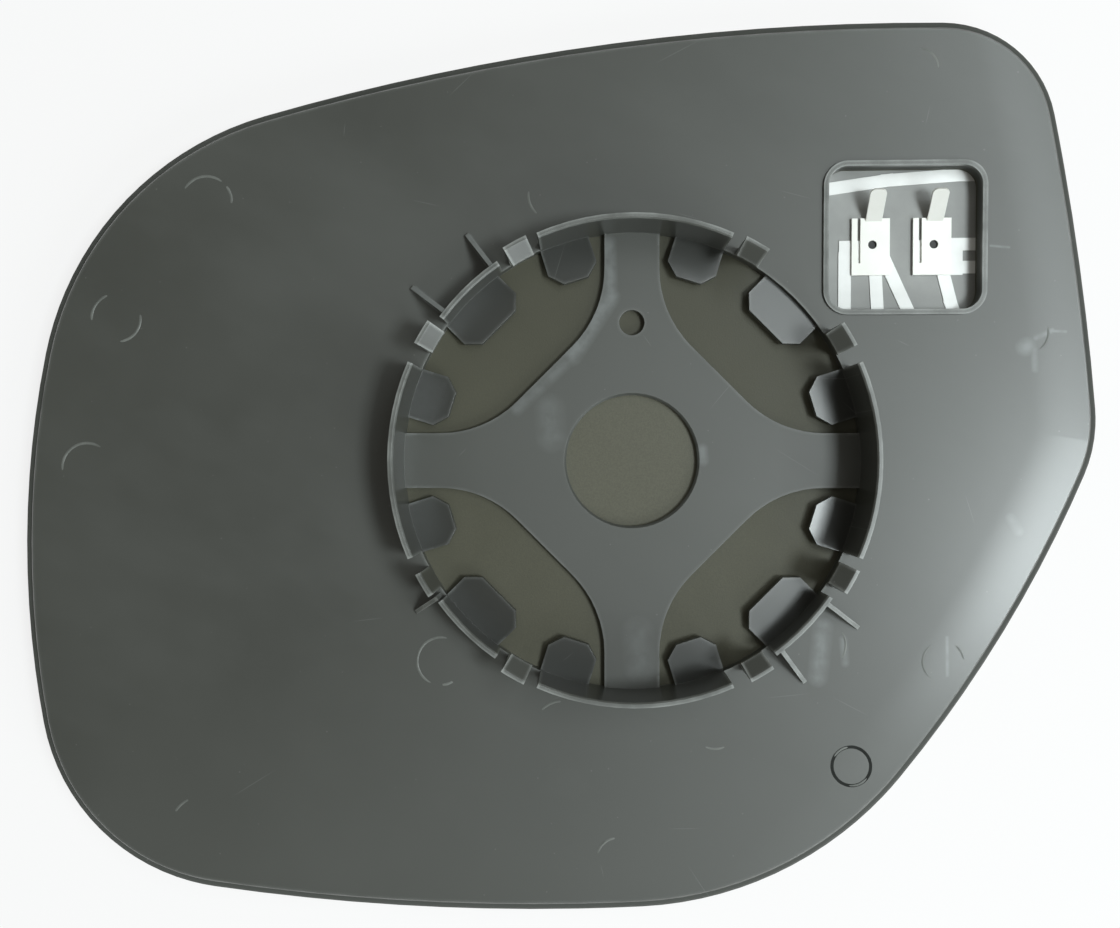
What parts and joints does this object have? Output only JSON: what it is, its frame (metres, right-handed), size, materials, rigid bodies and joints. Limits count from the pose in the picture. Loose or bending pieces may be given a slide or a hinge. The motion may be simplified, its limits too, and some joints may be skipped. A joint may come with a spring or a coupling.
{
  "type": "car door mirror glass",
  "caption": "Convex heated door mirror glass bonded in a black moulded backing plate, with a snap ring for the adjuster, spring tongues and heater terminals on the back.",
  "frame": {"origin": "on the axis of the snap ring, level with the back face of the plate there", "axes": "+Z out of the back along the ring's axis, +X to the right and +Y upwards as the back is looked at"},
  "size_m": [0.1842, 0.1531, 0.0165],
  "materials": {
    "black_plastic": "satin, fine moulded grain",
    "mirror": "polished, silvered behind",
    "film": "satin",
    "track_metal": "etched foil",
    "pad": "matt foam",
    "tinned_metal": "tin plated"
  },
  "bodies": {
    "root": {"backing_plate": "black_plastic", "mirror_glass": "mirror", "heater_film": "film", "heater_track": "track_metal", "adhesive_pad": "pad", "terminal_left": "tinned_metal", "terminal_right": "tinned_metal"}
  },
  "joints": []
}
